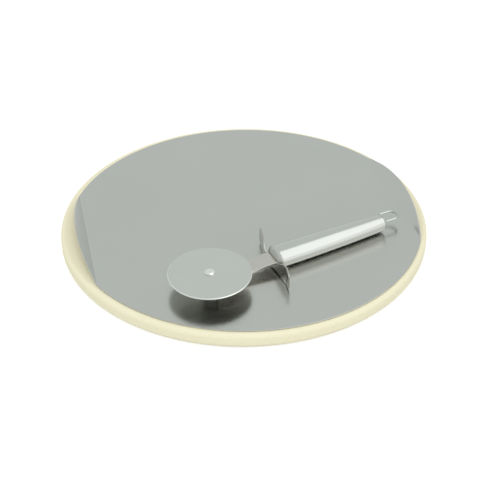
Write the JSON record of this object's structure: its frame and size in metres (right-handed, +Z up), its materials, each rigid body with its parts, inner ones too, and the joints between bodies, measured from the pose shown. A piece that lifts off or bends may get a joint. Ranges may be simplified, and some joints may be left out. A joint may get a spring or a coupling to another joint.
{
  "type": "pizza plate set",
  "caption": "Round cream baking stone with a steel serving plate whose opposite edges fold up as grips, and a wheel cutter with finger guard and tube handle lying on it.",
  "frame": {"origin": "centre of the stone's underside", "axes": "+Z up, +X through the middle of one of the plate's lips"},
  "size_m": [0.33, 0.33, 0.0314],
  "materials": {
    "stone": "matte unglazed cream, fine grain",
    "plate_steel": "satin rolled sheet",
    "wheel_steel": "satin, ground at the rim",
    "rivet_steel": "polished",
    "arm_steel": "polished sheet",
    "handle_steel": "fine satin, brushed along the tube",
    "wire_steel": "polished wire"
  },
  "bodies": {
    "stone": {"pizza_stone": "stone"},
    "plate": {"serving_plate": "plate_steel"},
    "cutter": {"cutter_arm": "arm_steel", "axle_rivet": "rivet_steel", "spacer_bush": "rivet_steel", "finger_guard": "arm_steel", "front_cap": "handle_steel", "handle_tube": "handle_steel", "rear_cap": "handle_steel", "hanging_hook": "wire_steel"},
    "wheel": {"cutter_wheel": "wheel_steel"}
  },
  "joints": [
    {"name": "plate_lift", "type": "slide", "parent": "stone", "child": "plate", "axis": [0, 0, 1], "range_m": [0, 0.06]},
    {"name": "cutter_lift", "type": "slide", "parent": "plate", "child": "cutter", "axis": [0, 0, 1], "range_m": [0, 0.08]},
    {"name": "wheel_spin", "type": "hinge", "parent": "cutter", "child": "wheel", "pos_m": [-0.05056, -0.09451, 0.0284], "axis": [0, 0, 1], "continuous": true}
  ]
}
